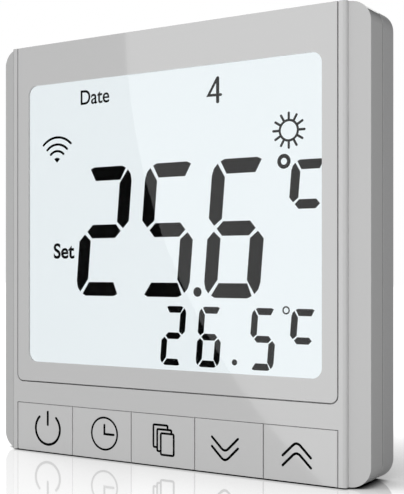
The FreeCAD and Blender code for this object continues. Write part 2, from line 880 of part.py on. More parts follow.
def terminal_cavity(index):
    """What is hollow in the block at one terminal."""
    x = terminal_x(index)
    reach = clamp_width / 2 + clamp_clearance
    half_z = clamp_length / 2 + clamp_clearance
    well = box(x - reach, x + reach, clamp_cavity_y, clamp_cavity_end_y,
               terminal_screw_z - half_z, terminal_screw_z + half_z)
    shank = bar_y_at(x, terminal_screw_z, terminal_screw_radius + fit_gap, clamp_cavity_end_y,
                     head_cavity_end_y)
    head = bar_y_at(x, terminal_screw_z, terminal_head_radius + terminal_head_clearance,
                    clamp_cavity_end_y + terminal_shoulder, head_cavity_end_y)
    driver = bar_y_at(x, terminal_screw_z, driver_hole_radius, head_cavity_end_y, block_back_y)
    entry_y = clamp_floor_y + clamp_floor + wire_gap / 2
    entry = rod(V(x, entry_y, -box_half_height), V(x, entry_y, terminal_screw_z - half_z),
                wire_entry_radius)
    bar_slot = box(x - bar_width / 2 - fit_gap, x + bar_width / 2 + fit_gap, bar_y - fit_gap,
                   bar_y + bar_thickness + fit_gap, terminal_screw_z, bar_end_z() + bar_thickness + fit_gap)
    leg_slot = box(x - bar_width / 4 - fit_gap, x + bar_width / 4 + fit_gap, power_board_back_y,
                   bar_y, bar_end_z() - fit_gap, bar_end_z() + bar_thickness + fit_gap)
    return [well, shank, head, driver, entry, bar_slot, leg_slot]


def terminal_block():
    """The insulating block with a well, a screw hole and a wire entry for each terminal."""
    shape = box(-block_half_width, block_half_width, power_board_back_y, block_back_y,
                -box_half_height, block_top_z)
    for index in range(terminal_count):
        for hollow in terminal_cavity(index):
            shape = shape.cut(hollow)
    return shape


def terminal_clamp(index):
    """A square clamp cage: it rises towards the screw's head and grips the conductor under the bar."""
    x = terminal_x(index)
    half_x = clamp_width / 2
    half_z = clamp_length / 2
    top = clamp_top_y + clamp_top
    outer = box(x - half_x, x + half_x, clamp_floor_y, top,
                terminal_screw_z - half_z, terminal_screw_z + half_z)
    inner = box(x - half_x + clamp_side_wall, x + half_x - clamp_side_wall, clamp_floor_y + clamp_floor,
                clamp_top_y, terminal_screw_z - half_z, terminal_screw_z + half_z)
    thread = bar_y_at(x, terminal_screw_z, terminal_screw_radius + terminal_thread_clearance,
                      clamp_top_y, top)
    return outer.cut(inner).cut(thread)


def terminal_screw(index):
    """A captive slotted screw, facing the back."""
    x = terminal_x(index)
    shank = bar_y_at(x, terminal_screw_z, terminal_screw_radius, bar_y + bar_thickness + fit_gap / 2, head_y)
    head = bar_y_at(x, terminal_screw_z, terminal_head_radius, head_y, head_y + terminal_head_height)
    slot = block_at(x, terminal_screw_z, 2 * terminal_head_radius, driver_slot_width,
                    head_y + terminal_head_height - driver_slot_depth, head_y + terminal_head_height)
    return shank.fuse(head).cut(slot)


def relay_case():
    """The relay's cover."""
    low = power_board_back_y
    outer = block_at(relay_x, relay_z, relay_width, relay_height, low, low + relay_depth)
    outer = round_edges(outer, relay_wall, lambda b: near(b.YMin, low + relay_depth))
    inner = block_at(relay_x, relay_z, relay_width - 2 * relay_wall, relay_height - 2 * relay_wall,
                     low, low + relay_depth - relay_wall)
    return outer.cut(inner)


def coil_x():
    """The relay coil's axis."""
    return relay_x - relay_width / 2 + relay_wall + fit_gap + coil_radius


def pole_y():
    """The pole face at the top of the coil's core."""
    return power_board_back_y + yoke_thickness + coil_length + fit_gap


def yoke_x():
    """The yoke's upright, on the side of the coil away from the case."""
    return coil_x() + coil_radius + fit_gap


def relay_coil():
    """The bobbin and its winding, round the core."""
    low = power_board_back_y + yoke_thickness
    flange = coil_length / 10
    ends = [bar_y_at(coil_x(), relay_z, coil_radius, y, y + flange)
            for y in (low, low + coil_length - flange)]
    winding = bar_y_at(coil_x(), relay_z, coil_radius - 2 * fit_gap, low, low + coil_length)
    hole = bar_y_at(coil_x(), relay_z, core_radius, low, low + coil_length)
    return fuse_all([winding] + ends).cut(hole)


def relay_yoke():
    """The iron yoke: a foot under the coil, the core up through it and an upright beside it."""
    half = relay_height / 2 - relay_wall - 2 * fit_gap
    left = coil_x() - coil_radius
    low = power_board_back_y
    foot = box(left, yoke_x() + yoke_thickness, low, low + yoke_thickness, relay_z - half, relay_z + half)
    upright = box(yoke_x(), yoke_x() + yoke_thickness, low, pole_y(), relay_z - half, relay_z + half)
    core = bar_y_at(coil_x(), relay_z, core_radius, low, pole_y())
    return fuse_all([foot, upright, core]).cut(pivot_bead(pivot_radius + relay_air_gap, half))


def armature_pivot():
    """The middle of the round bead that the armature rocks on, at the yoke's top."""
    return V(yoke_x() + yoke_thickness / 2, pole_y() + relay_air_gap, relay_z)


def pivot_bead(radius, half_length):
    """A round bar along the armature's pivot."""
    pivot = armature_pivot()
    return rod(V(pivot.x, pivot.y, relay_z - half_length), V(pivot.x, pivot.y, relay_z + half_length), radius)


def relay_armature():
    """The rocking iron plate over the coil, at rest a few degrees open, with its pivot bead."""
    pivot = armature_pivot()
    half = relay_height / 2 - relay_wall - 3 * fit_gap
    reach = coil_radius + core_radius + yoke_thickness
    plate = box(pivot.x - reach, pivot.x + yoke_thickness / 2, pivot.y, pivot.y + armature_thickness,
                relay_z - half, relay_z + half)
    plate.rotate(pivot, V(0, 0, 1), -armature_swing)
    return fuse_all([plate, pivot_bead(pivot_radius, half)])


def contact_x():
    """Where the relay's contacts meet."""
    return yoke_x() + yoke_thickness + 2 * contact_radius + contact_height


def leaf_y():
    """The spring leaf's underside with the armature closed."""
    return armature_pivot().y + armature_thickness


def moving_contact():
    """The spring leaf and contact carried by the armature."""
    pivot = armature_pivot()
    low = leaf_y()
    leaf = box(pivot.x - coil_radius, contact_x() + contact_radius, low, low + clip_thickness,
               relay_z - contact_radius, relay_z + contact_radius)
    tip = bar_y_at(contact_x(), relay_z, contact_radius, low + clip_thickness,
                   low + clip_thickness + contact_height)
    shape = leaf.fuse(tip)
    shape.rotate(pivot, V(0, 0, 1), -armature_swing)
    return shape


def fixed_contact():
    """The fixed contact under the hooked end of its post, beyond the leaf's tip."""
    tip_y = leaf_y() + clip_thickness + contact_height + relay_air_gap + fit_gap
    top = tip_y + contact_height + contact_blade
    post_x0 = contact_x() + contact_radius + contact_blade
    post = box(post_x0, post_x0 + contact_blade, power_board_back_y, top,
               relay_z - contact_radius, relay_z + contact_radius)
    hook = box(contact_x() - contact_radius, post_x0 + contact_blade, tip_y + contact_height, top,
               relay_z - contact_radius, relay_z + contact_radius)
    tip = bar_y_at(contact_x(), relay_z, contact_radius - fit_gap, tip_y, tip_y + contact_height)
    return fuse_all([post, hook, tip])


def transformer_core():
    """The transformer's ferrite core: a frame with a centre leg through the winding."""
    low = power_board_back_y + core_foot
    outer = block_at(transformer_x, transformer_z, transformer_width, transformer_height,
                     low, low + core_stack)
    windows = block_at(transformer_x, transformer_z, transformer_width - 2 * core_leg,
                       transformer_height - 2 * core_leg, low, low + core_stack)
    leg = block_at(transformer_x, transformer_z, core_leg, transformer_height, low, low + core_stack)
    return outer.cut(windows).fuse(leg).removeSplitter()


def transformer_winding():
    """The taped winding on its bobbin, through the core's windows."""
    low = power_board_back_y
    shape = block_at(transformer_x, transformer_z, transformer_width - 2 * core_leg,
                     transformer_height - 2 * core_leg, low, low + transformer_depth)
    shape = round_edges(shape, core_leg / 3, lambda b: near(b.YMin, low + transformer_depth))
    leg = block_at(transformer_x, transformer_z, core_leg, transformer_height, low + core_foot,
                   low + core_foot + core_stack)
    return shape.cut(leg)


def capacitor(x, z, radius, length):
    """A round can capacitor standing on the power board."""
    low = power_board_back_y
    can = bar_y_at(x, z, radius, low, low + length)
    return round_edges(can, radius / 8, lambda b: near(b.YMin, low + length))


def capacitor_places():
    """Each capacitor's centre, radius and length."""
    below = -large_capacitor_radius / 4
    return [(-power_half_width / 2 - large_capacitor_radius / 2, below, large_capacitor_radius,
             large_capacitor_length),
            (power_half_width / 2 + small_capacitor_radius, below, small_capacitor_radius,
             small_capacitor_length)]


def smoothing_capacitors():
    """The two smoothing capacitors."""
    return [capacitor(*place) for place in capacitor_places()]


def varistor():
    """The surge-absorbing disc on its two leads."""
    z = lower_post_z
    low = power_board_back_y
    centre_y = low + varistor_radius + varistor_foot
    disc = rod(V(0, centre_y, z - varistor_thickness / 2), V(0, centre_y, z + varistor_thickness / 2),
               varistor_radius)
    disc = disc.makeFillet(varistor_thickness / 4, [edge for edge in disc.Edges
                                                    if near(edge.BoundBox.ZLength, 0)])
    leads = [bar_y_at(side * varistor_radius / 2, z, lead_radius, low, centre_y) for side in (-1, 1)]
    return fuse_all([disc] + leads)


def fuse_place():
    """The fuse's height above the board and its place across the box."""
    return power_board_back_y + fuse_radius + fuse_foot, upper_post_z - fuse_radius


def line_fuse():
    """The fuse: a ceramic tube and two end caps with their leads to the board."""
    y, z = fuse_place()
    half = fuse_length / 2 - fuse_cap_length
    solids = [rod(V(-half, y, z), V(half, y, z), fuse_radius - fit_gap)]
    for side in (-1, 1):
        cap = rod(V(side * half, y, z), V(side * fuse_length / 2, y, z), fuse_radius)
        lead = bar_y_at(side * (fuse_length - fuse_cap_length) / 2, z, lead_radius, power_board_back_y, y)
        solids.append(cap.fuse(lead))
    return solids


def rating_label():
    """A blank label on the back of the box."""
    z = (step_wall_z + box_half_height) / 2
    return slab(-label_width / 2, label_width / 2, z - label_height / 2, z + label_height / 2,
                box_depth, box_depth + label_thickness, board_corner_radius)


# ---- Every piece by name ----
KEY_NAMES = ("power", "clock", "mode", "down", "up")


def pieces():
    """Each node's name and shape, or list of shapes."""
    made = {
        "front_cover": front_cover(), "display_bezel": display_bezel(), "window_lens": window_lens(),
        "lcd_front_glass": lcd_front_glass(), "lcd_rear_glass": lcd_rear_glass(),
        "diffuser_sheet": diffuser_sheet(), "light_guide": light_guide(), "contact_strip": contact_strip(),
        "backlight_leds": led_boxes(0), "backlight_tray": backlight_tray(),
        "control_board": control_board(), "board_screws": board_screws(),
        "key_switches": key_switches(),
        "microcontroller": microcontroller(), "radio_module": radio_module(), "radio_can": radio_can(),
        "clock_cell": clock_cell(), "cell_clip": cell_clip(), "temperature_sensor": temperature_sensor(),
        "link_socket": link_socket(),
        "rear_housing": rear_housing(), "power_board": power_board(), "mains_guard": mains_guard(),
        "guard_screws": guard_screws(), "link_pins": link_pins(), "link_pin_block": link_pin_block(),
        "terminal_block": terminal_block(),
        "terminal_bars": [terminal_bar(i) for i in range(terminal_count)],
        "relay_case": relay_case(), "relay_coil": relay_coil(),
        "relay_yoke": relay_yoke(), "relay_armature": relay_armature(), "moving_contact": moving_contact(),
        "fixed_contact": fixed_contact(), "transformer_core": transformer_core(),
        "transformer_winding": transformer_winding(),
        "smoothing_capacitors": smoothing_capacitors(), "varistor": varistor(), "line_fuse": line_fuse(),
        "rating_label": rating_label(),
    }
    for index, name in enumerate(KEY_NAMES):
        made["key_" + name] = key(index)
        made["plunger_" + name] = switch_plunger(index)
    for index in range(terminal_count):
        made["terminal_clamp_" + str(index + 1)] = terminal_clamp(index)
        made["terminal_screw_" + str(index + 1)] = terminal_screw(index)
    return made


def save(name, shape):
    """Write one node's file; a list of shapes becomes a group of solids."""
    if isinstance(shape, list):
        shape = Part.makeCompound(shape)
    shape.exportStep("parts/" + name + ".step")


os.makedirs("parts", exist_ok=True)
for piece_name, piece_shape in pieces().items():
    save(piece_name, piece_shape)
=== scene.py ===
"""A wall thermostat's looks: display, printed symbols, boards, materials, floor, light and camera."""
import json
import math
import random

import bmesh
import bpy
from mathutils import Matrix, Vector


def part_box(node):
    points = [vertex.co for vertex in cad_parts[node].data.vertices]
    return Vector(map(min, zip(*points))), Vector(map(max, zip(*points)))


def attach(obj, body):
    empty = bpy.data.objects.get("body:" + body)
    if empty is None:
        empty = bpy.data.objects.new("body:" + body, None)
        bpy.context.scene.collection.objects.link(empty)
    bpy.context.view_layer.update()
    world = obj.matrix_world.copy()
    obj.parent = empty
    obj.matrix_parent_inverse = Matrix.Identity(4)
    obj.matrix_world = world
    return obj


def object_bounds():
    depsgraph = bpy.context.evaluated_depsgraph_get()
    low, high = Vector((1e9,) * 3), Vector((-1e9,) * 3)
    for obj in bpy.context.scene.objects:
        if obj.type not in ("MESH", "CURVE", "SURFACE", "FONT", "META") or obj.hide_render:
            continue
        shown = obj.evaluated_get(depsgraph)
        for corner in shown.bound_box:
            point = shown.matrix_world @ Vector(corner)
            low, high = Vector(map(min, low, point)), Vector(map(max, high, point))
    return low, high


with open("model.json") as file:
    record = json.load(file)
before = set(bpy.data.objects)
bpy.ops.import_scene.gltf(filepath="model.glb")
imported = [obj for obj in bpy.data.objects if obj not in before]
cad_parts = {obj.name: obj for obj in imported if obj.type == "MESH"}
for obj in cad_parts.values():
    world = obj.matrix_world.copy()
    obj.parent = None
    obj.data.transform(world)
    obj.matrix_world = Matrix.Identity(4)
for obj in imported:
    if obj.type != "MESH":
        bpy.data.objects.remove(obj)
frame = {"nodes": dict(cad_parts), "record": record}
cad_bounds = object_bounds()
NODES = frame["nodes"]
MM = 0.001


# ---- Material helpers ----
def new_material(name):
    """An empty node material with its Principled shader: (material, nodes, links, shader)."""
    material = bpy.data.materials.new(name)
    material.use_nodes = True
    tree = material.node_tree
    return material, tree.nodes, tree.links, tree.nodes["Principled BSDF"]


def object_noise(nodes, links, scale, detail=3.0):
    """Noise in object space, in features per metre."""
    place = nodes.new("ShaderNodeTexCoord")
    noise = nodes.new("ShaderNodeTexNoise")
    noise.inputs["Scale"].default_value = scale
    noise.inputs["Detail"].default_value = detail
    links.new(place.outputs["Object"], noise.inputs["Vector"])
    return noise


def spread(nodes, links, source, low, high):
    """Maps the middle half of a 0 to 1 value onto low to high."""
    span = nodes.new("ShaderNodeMapRange")
    span.inputs["From Min"].default_value = 0.25
    span.inputs["From Max"].default_value = 0.75
    span.inputs["To Min"].default_value = low
    span.inputs["To Max"].default_value = high
    links.new(source, span.inputs["Value"])
    return span.outputs["Result"]


def tinted(nodes, links, source, colour, depth):
    """A colour that varies by plus or minus depth with a 0 to 1 value."""
    mix = nodes.new("ShaderNodeMix")
    mix.data_type = "RGBA"
    mix.inputs["A"].default_value = [c * (1 - depth) for c in colour] + [1]
    mix.inputs["B"].default_value = [min(1, c * (1 + depth)) for c in colour] + [1]
    links.new(source, mix.inputs["Factor"])
    return mix.outputs["Result"]


def bump(nodes, links, shader, source, height):
    """Raises the surface by a height in metres along a 0 to 1 value."""
    node = nodes.new("ShaderNodeBump")
    node.inputs["Strength"].default_value = 1.0
    node.inputs["Distance"].default_value = height
    links.new(source, node.inputs["Height"])
    links.new(node.outputs["Normal"], shader.inputs["Normal"])


def surface(name, colour, roughness, grain=900.0, height=2e-6, depth=0.03, metallic=0.0, coat=0.0,
            ior=1.5):
    """A surface with fine grain: colour, roughness range, grain in features per metre, bump height."""
    material, nodes, links, shader = new_material(name)
    fine = object_noise(nodes, links, grain)
    broad = object_noise(nodes, links, 45.0, 4.0)
    links.new(tinted(nodes, links, broad.outputs["Fac"], colour, depth), shader.inputs["Base Color"])
    links.new(spread(nodes, links, fine.outputs["Fac"], *roughness), shader.inputs["Roughness"])
    bump(nodes, links, shader, fine.outputs["Fac"], height)
    shader.inputs["Metallic"].default_value = metallic
    shader.inputs["IOR"].default_value = ior
    shader.inputs["Coat Weight"].default_value = coat
    shader.inputs["Coat Roughness"].default_value = 0.03
    return material


def silver_paint(name, colour):
    """Smooth silver-grey lacquer: even colour, very fine flake and a clear glossy coat."""
    material, nodes, links, shader = new_material(name)
    flake = object_noise(nodes, links, 6000.0, 2.0)
    cloud = object_noise(nodes, links, 30.0, 3.0)
    both = nodes.new("ShaderNodeMath")
    both.operation = "MULTIPLY_ADD"
    both.inputs[1].default_value = 0.6
    links.new(flake.outputs["Fac"], both.inputs[0])
    half = nodes.new("ShaderNodeMath")
    half.operation = "MULTIPLY"
    half.inputs[1].default_value = 0.4
    links.new(cloud.outputs["Fac"], half.inputs[0])
    links.new(half.outputs["Value"], both.inputs[2])
    links.new(tinted(nodes, links, both.outputs["Value"], colour, 0.02), shader.inputs["Base Color"])
    links.new(spread(nodes, links, cloud.outputs["Fac"], 0.04, 0.06), shader.inputs["Roughness"])
    shader.inputs["Coat Weight"].default_value = 1.0
    shader.inputs["Coat Roughness"].default_value = 0.02
    return material


def clear(name, colour, ior):
    """Clear plastic with the faintest waviness."""
    material, nodes, links, shader = new_material(name)
    wave = object_noise(nodes, links, 60.0, 1.0)
    links.new(spread(nodes, links, wave.outputs["Fac"], 0.0, 0.01), shader.inputs["Roughness"])
    shader.inputs["Base Color"].default_value = colour + [1]
    shader.inputs["Transmission Weight"].default_value = 1.0
    shader.inputs["IOR"].default_value = ior
    return material


def film(name, colour, alpha):
    """A film that hardly shows, as glass bonded to a lens."""
    material, nodes, links, shader = new_material(name)
    wave = object_noise(nodes, links, 60.0, 1.0)
    links.new(tinted(nodes, links, wave.outputs["Fac"], colour, 0.01), shader.inputs["Base Color"])
    shader.inputs["Alpha"].default_value = alpha
    shader.inputs["Specular IOR Level"].default_value = 0.0
    return material


def lit_field(name, colour, strength):
    """The display's pale ground, lit evenly from behind with a faint cloud in it."""
    material, nodes, links, shader = new_material(name)
    cloud = object_noise(nodes, links, 25.0, 2.0)
    glow = tinted(nodes, links, cloud.outputs["Fac"], colour, 0.006)
    shader.inputs["Base Color"].default_value = [0.02, 0.02, 0.02, 1]
    shader.inputs["Specular IOR Level"].default_value = 0.0
    links.new(glow, shader.inputs["Emission Color"])
    shader.inputs["Emission Strength"].default_value = strength
    return material


def ink(name, colour, roughness=0.5):
    """Dull opaque printing ink with a fine grain."""
    material = surface(name, colour, (roughness - 0.05, roughness + 0.05), 2500.0, 4e-7, 0.04)
    material.node_tree.nodes["Principled BSDF"].inputs["Specular IOR Level"].default_value = 0.0
    return material


SILVER = silver_paint("silver_lacquer", [0.47, 0.47, 0.47])
KEY_SILVER = silver_paint("key_lacquer", [0.483, 0.483, 0.483])
HOUSING = surface("housing_plastic", [0.36, 0.36, 0.362], (0.38, 0.5), 2200.0, 3e-6, 0.02)
LENS = clear("lens_polycarbonate", [1.0, 1.0, 1.0], 1.58)
CELL_FILM = film("cell_glass", [0.9, 0.95, 1.0], 0.002)
FIELD = lit_field("display_field", [0.888, 0.953, 0.979], 1.0)
INK_BLACK = ink("display_ink", [0.002, 0.002, 0.002])
KEY_INK = ink("key_ink", [0.003, 0.003, 0.003])
LABEL_INK = ink("label_ink", [0.02, 0.02, 0.022])
WHITE_INK = ink("white_ink", [0.75, 0.75, 0.73])
TRACK = surface("masked_track", [0.035, 0.26, 0.10], (0.2, 0.35), 1200.0, 2e-6, 0.1)
SOLDER = surface("solder", [0.70, 0.70, 0.69], (0.15, 0.35), 2500.0, 3e-6, 0.08, 1.0)
# Near-black for the band in the seam between the front and the rim: painted shade.
SEAM_SHADE = surface("painted_seam_shade", [0.10, 0.10, 0.10], (0.6, 0.8), 2500.0, 3e-6, 0.1)
CHIP_BODY = surface("chip_ceramic", [0.42, 0.33, 0.22], (0.35, 0.5), 2500.0, 2e-6, 0.08)
WHITE_PLASTIC = surface("white_moulding", [0.78, 0.78, 0.76], (0.35, 0.5), 1500.0, 2e-6, 0.02)
BLACK_PLASTIC = surface("black_moulding", [0.02, 0.02, 0.022], (0.35, 0.55), 2600.0, 3e-6, 0.1)
STEEL = surface("zinc_plate", [0.62, 0.62, 0.60], (0.22, 0.4), 1800.0, 2e-6, 0.08, 1.0)
NICKEL = surface("nickel_plate", [0.68, 0.66, 0.62], (0.12, 0.25), 1500.0, 1e-6, 0.05, 1.0)
GOLD = surface("gold_flash", [0.85, 0.62, 0.25], (0.15, 0.3), 1500.0, 1e-6, 0.05, 1.0)
BRASS = surface("brass", [0.75, 0.56, 0.26], (0.2, 0.4), 1500.0, 2e-6, 0.08, 1.0)
COPPER = surface("enamelled_copper", [0.55, 0.20, 0.08], (0.2, 0.35), 4000.0, 2e-5, 0.15, 0.6)
GREEN_PLASTIC = surface("terminal_plastic", [0.03, 0.26, 0.09], (0.35, 0.5), 2000.0, 3e-6, 0.05)
BLUE_CASE = surface("relay_moulding", [0.02, 0.09, 0.36], (0.2, 0.35), 1500.0, 2e-6, 0.05)
FERRITE = surface("ferrite", [0.045, 0.045, 0.05], (0.5, 0.7), 3000.0, 1e-5, 0.2)
YELLOW_TAPE = surface("winding_tape", [0.78, 0.58, 0.06], (0.2, 0.35), 1200.0, 2e-6, 0.05)
SLEEVE = surface("capacitor_sleeve", [0.02, 0.022, 0.05], (0.15, 0.3), 1200.0, 2e-6, 0.1)
BLUE_DIP = surface("varistor_dip", [0.03, 0.10, 0.38], (0.2, 0.4), 700.0, 2e-5, 0.1)
CERAMIC = surface("fuse_ceramic", [0.78, 0.75, 0.68], (0.25, 0.4), 1800.0, 2e-6, 0.04)
BOARD = surface("solder_mask", [0.02, 0.17, 0.06], (0.2, 0.35), 1200.0, 4e-6, 0.12)
RUBBER = surface("elastomer", [0.05, 0.05, 0.05], (0.6, 0.8), 2500.0, 4e-6, 0.1)
PAPER = surface("label_stock", [0.80, 0.80, 0.78], (0.4, 0.55), 3000.0, 2e-6, 0.02)

SLOT_MATERIALS = {
    "silver_shell": SILVER, "silver_keys": KEY_SILVER, "grey_housing": HOUSING, "clear_lens": LENS,
    "display_glass": CELL_FILM, "diffuser": WHITE_PLASTIC, "white_plastic": WHITE_PLASTIC,
    "dark_rubber": RUBBER, "circuit_board": BOARD, "zinc_steel": STEEL, "nickel_steel": NICKEL,
    "black_plastic": BLACK_PLASTIC, "gold_pins": GOLD, "brass": BRASS, "green_plastic": GREEN_PLASTIC,
    "relay_blue": BLUE_CASE, "copper_winding": COPPER, "ferrite": FERRITE, "yellow_tape": YELLOW_TAPE,
    "capacitor_sleeve": SLEEVE, "varistor_blue": BLUE_DIP, "ceramic_fuse": CERAMIC, "label_paper": PAPER,
}


def give(node, material):
    """Gives a CAD node one material."""
    slots = NODES[node].data.materials
    slots.clear()
    slots.append(material)


for part in frame["record"]["subparts"]:
    give(part["node"], SLOT_MATERIALS[part["material_slot"]])
give("lcd_rear_glass", FIELD)


# ---- Flat shapes, drawn in the X-Z plane ----
def arc(x, z, radius, start, end, steps=24):
    """Points along an arc, angles in degrees from +X towards +Z."""
    angles = [math.radians(start + (end - start) * i / steps) for i in range(steps + 1)]
    return [(x + radius * math.cos(a), z + radius * math.sin(a)) for a in angles]


def rounded(points, radius, steps=6):
    """A line through points with its inner corners rounded."""
    line = [points[0]]
    for before, corner, after in zip(points, points[1:], points[2:]):
        c = Vector(corner)
        back = (Vector(before) - c).normalized() * radius
        ahead = (Vector(after) - c).normalized() * radius
        for i in range(steps + 1):
            t = i / steps
            line.append(tuple(c + back * (1 - t) ** 2 + ahead * t ** 2))
    return line + [points[-1]]


def square(x, z, half):
    """The corners of an upright square."""
    return [(x - half, z - half), (x + half, z - half), (x + half, z + half), (x - half, z + half)]


def rounded_plate(x0, x1, z0, z1, radius, steps):
    """An upright rectangle with rounded corners."""
    return (arc(x1 - radius, z0 + radius, radius, -90, 0, steps)
            + arc(x1 - radius, z1 - radius, radius, 0, 90, steps)
            + arc(x0 + radius, z1 - radius, radius, 90, 180, steps)
            + arc(x0 + radius, z0 + radius, radius, 180, 270, steps))


def rails(points, width, closed):
    """The two edges of a line of a given width."""
    count = len(points)
    left, right = [], []
    for i, point in enumerate(points):
        before = Vector(points[i - 1]) if i or closed else None
        after = Vector(points[(i + 1) % count]) if i < count - 1 or closed else None
        here = Vector(point)
        into = (here - before).normalized() if before else (after - here).normalized()
        out = (after - here).normalized() if after else into
        middle = (into + out).normalized()
        normal = Vector((-middle.y, middle.x))
        reach = width / 2 / max(0.5, middle.dot(into))
        left.append(tuple(here + normal * reach))
        right.append(tuple(here - normal * reach))
    return left, right


def add_piece(data, name, body):
    """A mesh as an object of the model, riding on a body."""
    thing = bpy.data.objects.new(name, data)
    bpy.context.scene.collection.objects.link(thing)
    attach(thing, body)


def mesh_piece(mesh, name, body, material):
    """A finished object from an edit mesh in metres, in one material."""
    data = bpy.data.meshes.new(name)
    mesh.to_mesh(data)
    mesh.free()
    data.materials.append(material)
    add_piece(data, name, body)


class Print:
    """Thin raised ink built up from flat outlines, between two depths along Y (millimetres)."""

    def __init__(self, y0, y1):
        self.mesh = bmesh.new()
        self.y0 = y0
        self.y1 = y1

    def ring_of(self, outline, y):
        return [self.mesh.verts.new((x * MM, y * MM, z * MM)) for x, z in outline]

    def side(self, front, back, closed=True):
        count = len(front)
        for i in range(count if closed else count - 1):
            j = (i + 1) % count
            self.mesh.faces.new((front[i], front[j], back[j], back[i]))

    def patch(self, outline):
        """A filled outline."""
        front = self.ring_of(outline, self.y0)
        back = self.ring_of(outline, self.y1)
        self.mesh.faces.new(front)
        self.mesh.faces.new(back[::-1])
        self.side(front, back)

    def line(self, points, width):
        """A line with rounded ends."""
        left, right = rails(points, width, False)
        first, last = Vector(points[0]), Vector(points[-1])
        tail = (first - Vector(points[1])).normalized()
        tip = (last - Vector(points[-2])).normalized()
        turn = math.degrees(math.atan2(tip.y, tip.x))
        back_turn = math.degrees(math.atan2(tail.y, tail.x))
        nose = arc(last.x, last.y, width / 2, turn + 60, turn - 60, 4)
        heel = arc(first.x, first.y, width / 2, back_turn + 60, back_turn - 60, 4)
        self.patch(left + nose + right[::-1] + heel)

    def loop(self, points, width):
        """A closed line."""
        left, right = rails(points, width, True)
        faces = [(self.ring_of(left, y), self.ring_of(right, y)) for y in (self.y0, self.y1)]
        for outer, inner in faces:
            self.side(outer, inner)
        self.side(faces[0][0], faces[1][0])
        self.side(faces[0][1], faces[1][1])

    def disc(self, x, z, radius):
        """A filled circle."""
        self.patch(arc(x, z, radius, 0, 360, 32)[:-1])

    def ring(self, x, z, radius, width):
        """A circle drawn with a line."""
        self.loop(arc(x, z, radius, 0, 360, 48)[:-1], width)

    def piece(self, name, body, material):
        """The finished object, riding on a body."""
        bmesh.ops.recalc_face_normals(self.mesh, faces=self.mesh.faces)
        mesh_piece(self.mesh, name, body, material)


FONT_CAPITAL = 0.73      # a capital's share of the built-in font's size


def lettering(name, words, height, x, z, y, body, material, weight=0.0, squeeze=1.0, facing=-1):
    """Generic words as a thin solid: capitals of a given height, from x rightwards as read (mm).

    They face the front with facing at -1, and the wall with it at 1.
    """
    data = bpy.data.curves.new(name, "FONT")
    data.body = words
    data.size = height * MM / FONT_CAPITAL
    data.extrude = 0.01 * MM
    data.offset = weight * MM
    data.materials.append(material)
    drawn = bpy.data.objects.new(name, data)
    bpy.context.scene.collection.objects.link(drawn)
    bpy.context.view_layer.update()
    mesh = bpy.data.meshes.new_from_object(drawn.evaluated_get(bpy.context.evaluated_depsgraph_get()))
    bpy.data.objects.remove(drawn)
    upright = Matrix(((squeeze * -facing, 0, 0, x * MM),
                      (0, 0, facing, y * MM),
                      (0, 1, 0, z * MM),
                      (0, 0, 0, 1)))
    mesh.transform(upright)
    add_piece(mesh, name, body)


# ---- The display's figures, in the gap between the two glasses ----
figure_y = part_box("lcd_front_glass")[1].y / MM
FIGURES = (figure_y + 0.02, figure_y + 0.05)
display_shift = -0.14    # how far the figures sit left of centre
slant = 0.085            # sideways lean for each unit of height


def mirrored(points, about):
    """Points reflected across a vertical line."""
    return [(2 * about - x, z) for x, z in points]


def segment_outlines(left, right, top, bottom, stroke):
    """The seven bars of one digit, by their usual letters, before they lean."""
    middle = (top + bottom) / 2
    s = stroke

    def cap(end, up):
        return [(left + 0.63 * s, end - up * 0.15 * s), (left + 0.95 * s, end), (right - 0.95 * s, end),
                (right - 0.6 * s, end - up * 0.16 * s), (right - 1.02 * s, end - up * 1.02 * s),
                (left + 1.17 * s, end - up * 1.02 * s)]

    def upright(end, up):
        return [(left, middle + up * 0.72 * s), (left, end - up * 1.1 * s),
                (left + 0.13 * s, end - up * 0.62 * s), (left + 0.4 * s, end - up * 0.3 * s),
                (left + 1.06 * s, end - up * 1.25 * s), (left + 1.06 * s, middle + up * 0.68 * s),
                (left + 0.48 * s, middle + up * 0.2 * s)]

    bar = [(left + 0.7 * s, middle), (left + 1.17 * s, middle + s / 2), (right - 1.15 * s, middle + s / 2),
           (right - 0.68 * s, middle), (right - 1.15 * s, middle - s / 2), (left + 1.17 * s, middle - s / 2)]
    centre = (left + right) / 2
    return {"a": cap(top, 1), "d": cap(bottom, -1), "g": bar, "f": upright(top, 1), "e": upright(bottom, -1),
            "b": mirrored(upright(top, 1), centre), "c": mirrored(upright(bottom, -1), centre)}


def digit(target, left, width, top, bottom, stroke, bars):
    """Draws the lit bars of one leaning digit."""
    middle = (top + bottom) / 2
    outlines = segment_outlines(left + display_shift, left + width + display_shift, top, bottom, stroke)
    for name in bars:
        target.patch([(x + slant * (z - middle), z) for x, z in outlines[name]])


TWO, FIVE, SIX, DEGREE_C = "abged", "afgcd", "afgedc", "afg"


def large_reading():
    """The room temperature: three large digits, a point and the unit."""
    ink_print = Print(*FIGURES)
    top, bottom, width, stroke, pitch = 16.55, -9.92, 12.35, 2.78, 15.67
    first = -21.5
    for place, bars in enumerate((TWO, FIVE, SIX)):
        digit(ink_print, first + place * pitch, width, top, bottom, stroke, bars)
    ink_print.disc(7.43 + display_shift, -8.83, 0.93)
    ink_print.ring(26.25 + display_shift, 15.4, 1.0, 0.74)
    digit(ink_print, 27.25, 7.5, 15.55, -0.65, 1.75, DEGREE_C)
    ink_print.piece("display_large_reading", "front", INK_BLACK)


